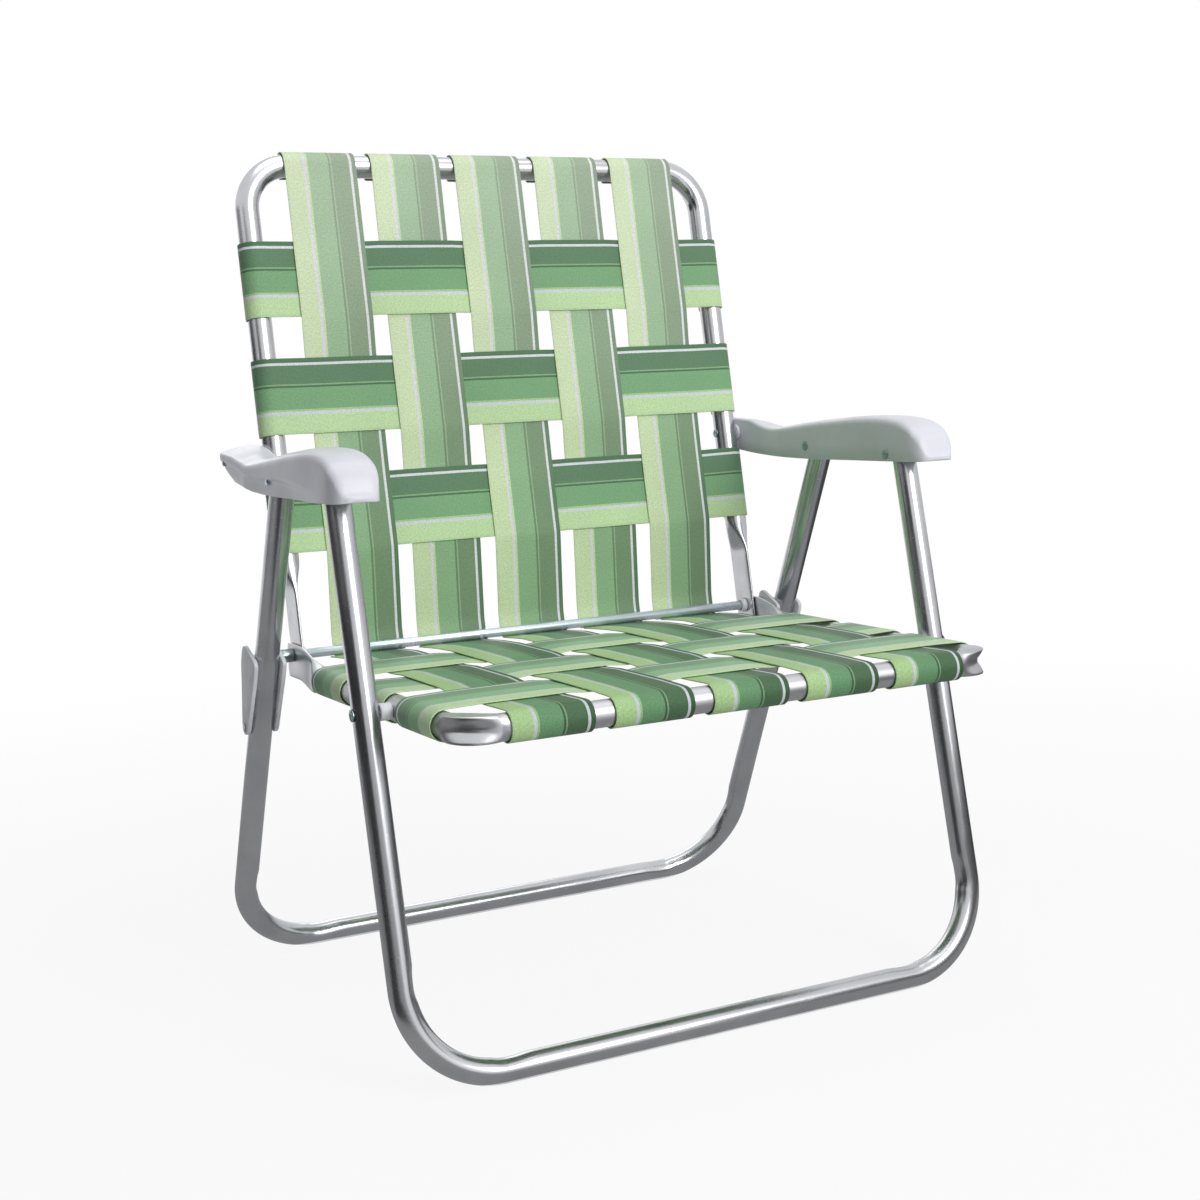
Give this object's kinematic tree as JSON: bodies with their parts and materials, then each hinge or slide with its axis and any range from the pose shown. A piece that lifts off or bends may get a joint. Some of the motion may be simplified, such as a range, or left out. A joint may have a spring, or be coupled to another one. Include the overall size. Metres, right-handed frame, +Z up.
{
  "type": "folding webbed lawn chair",
  "caption": "Open folding lawn chair: bent aluminium tube legs, seat and back, woven green striped webbing, moulded white arms, rod and rear links that let it fold flat.",
  "frame": {"origin": "middle of the open chair's bounding box, on the floor", "axes": "+X across the chair to the sitter's left as seen from the front on the right, -Y towards the front, +Z up"},
  "size_m": [0.6164, 0.5361, 0.7893],
  "materials": {
    "frame_tube": "polished",
    "arm_plastic": "smooth satin white",
    "white_plastic": "satin white",
    "zinc_steel": "zinc plated",
    "webbing": "woven, green stripes"
  },
  "bodies": {
    "back": {"back_frame": "frame_tube", "pivot_rod": "zinc_steel", "rod_bush_left": "white_plastic", "rod_bush_right": "white_plastic", "rod_sleeve_left": "zinc_steel", "rod_sleeve_right": "zinc_steel", "back_pivot_bolt_left": "zinc_steel", "back_pivot_bolt_right": "zinc_steel", "arm_washer_left": "white_plastic", "arm_washer_right": "white_plastic", "back_strap_long_1": "webbing", "back_strap_long_2": "webbing", "back_strap_long_3": "webbing", "back_strap_long_4": "webbing", "back_strap_long_5": "webbing", "back_strap_cross_1": "webbing", "back_strap_cross_2": "webbing", "back_strap_cross_3": "webbing"},
    "armrests": {"armrest_left": "arm_plastic", "armrest_right": "arm_plastic", "arm_front_pin_left": "zinc_steel", "arm_front_pin_right": "zinc_steel", "arm_rear_pin_left": "zinc_steel", "arm_rear_pin_right": "zinc_steel"},
    "front_legs": {"front_leg_frame": "frame_tube", "seat_pivot_bolt_left": "zinc_steel", "seat_pivot_bolt_right": "zinc_steel", "seat_spacer_left": "white_plastic", "seat_spacer_right": "white_plastic"},
    "rear_legs": {"rear_leg_frame": "frame_tube"},
    "seat": {"seat_frame": "frame_tube", "seat_nut_left": "zinc_steel", "seat_nut_right": "zinc_steel", "seat_strap_long_1": "webbing", "seat_strap_long_2": "webbing", "seat_strap_long_3": "webbing", "seat_strap_long_4": "webbing", "seat_strap_long_5": "webbing", "seat_strap_cross_1": "webbing", "seat_strap_cross_2": "webbing", "seat_strap_cross_3": "webbing"},
    "rear_links": {"rear_link_outer_left": "white_plastic", "rear_link_outer_right": "white_plastic", "rear_link_inner_left": "white_plastic", "rear_link_inner_right": "white_plastic", "link_rivet_outer_left": "zinc_steel", "link_rivet_outer_right": "zinc_steel", "link_rivet_inner_left": "zinc_steel", "link_rivet_inner_right": "zinc_steel"}
  },
  "joints": [
    {"name": "arm_fold", "type": "hinge", "parent": "back", "child": "armrests", "pos_m": [0, 0.15953, 0.49996], "axis": [-1, 0, 0], "range_deg": [0, 85]},
    {"name": "front_leg_fold", "type": "hinge", "parent": "armrests", "child": "front_legs", "pos_m": [0, -0.10092, 0.48162], "axis": [-1, 0, 0], "range_deg": [-85, 0]},
    {"name": "rear_leg_fold", "type": "hinge", "parent": "armrests", "child": "rear_legs", "pos_m": [0, 0.0321, 0.48768], "axis": [-1, 0, 0], "range_deg": [-50, 0]},
    {"name": "seat_fold", "type": "hinge", "parent": "back", "child": "seat", "pos_m": [0, 0.12908, 0.319], "axis": [-1, 0, 0], "range_deg": [0, 83]},
    {"name": "link_fold", "type": "hinge", "parent": "back", "child": "rear_links", "pos_m": [0, 0.12908, 0.319], "axis": [-1, 0, 0], "range_deg": [0, 155]}
  ],
  "couplings": [
    {"joint": "front_leg_fold", "follows": "arm_fold", "ratio": -0.9961},
    {"joint": "rear_leg_fold", "follows": "arm_fold", "ratio": -0.5826},
    {"joint": "seat_fold", "follows": "arm_fold", "ratio": 0.9697},
    {"joint": "link_fold", "follows": "arm_fold", "ratio": 1.8119}
  ]
}
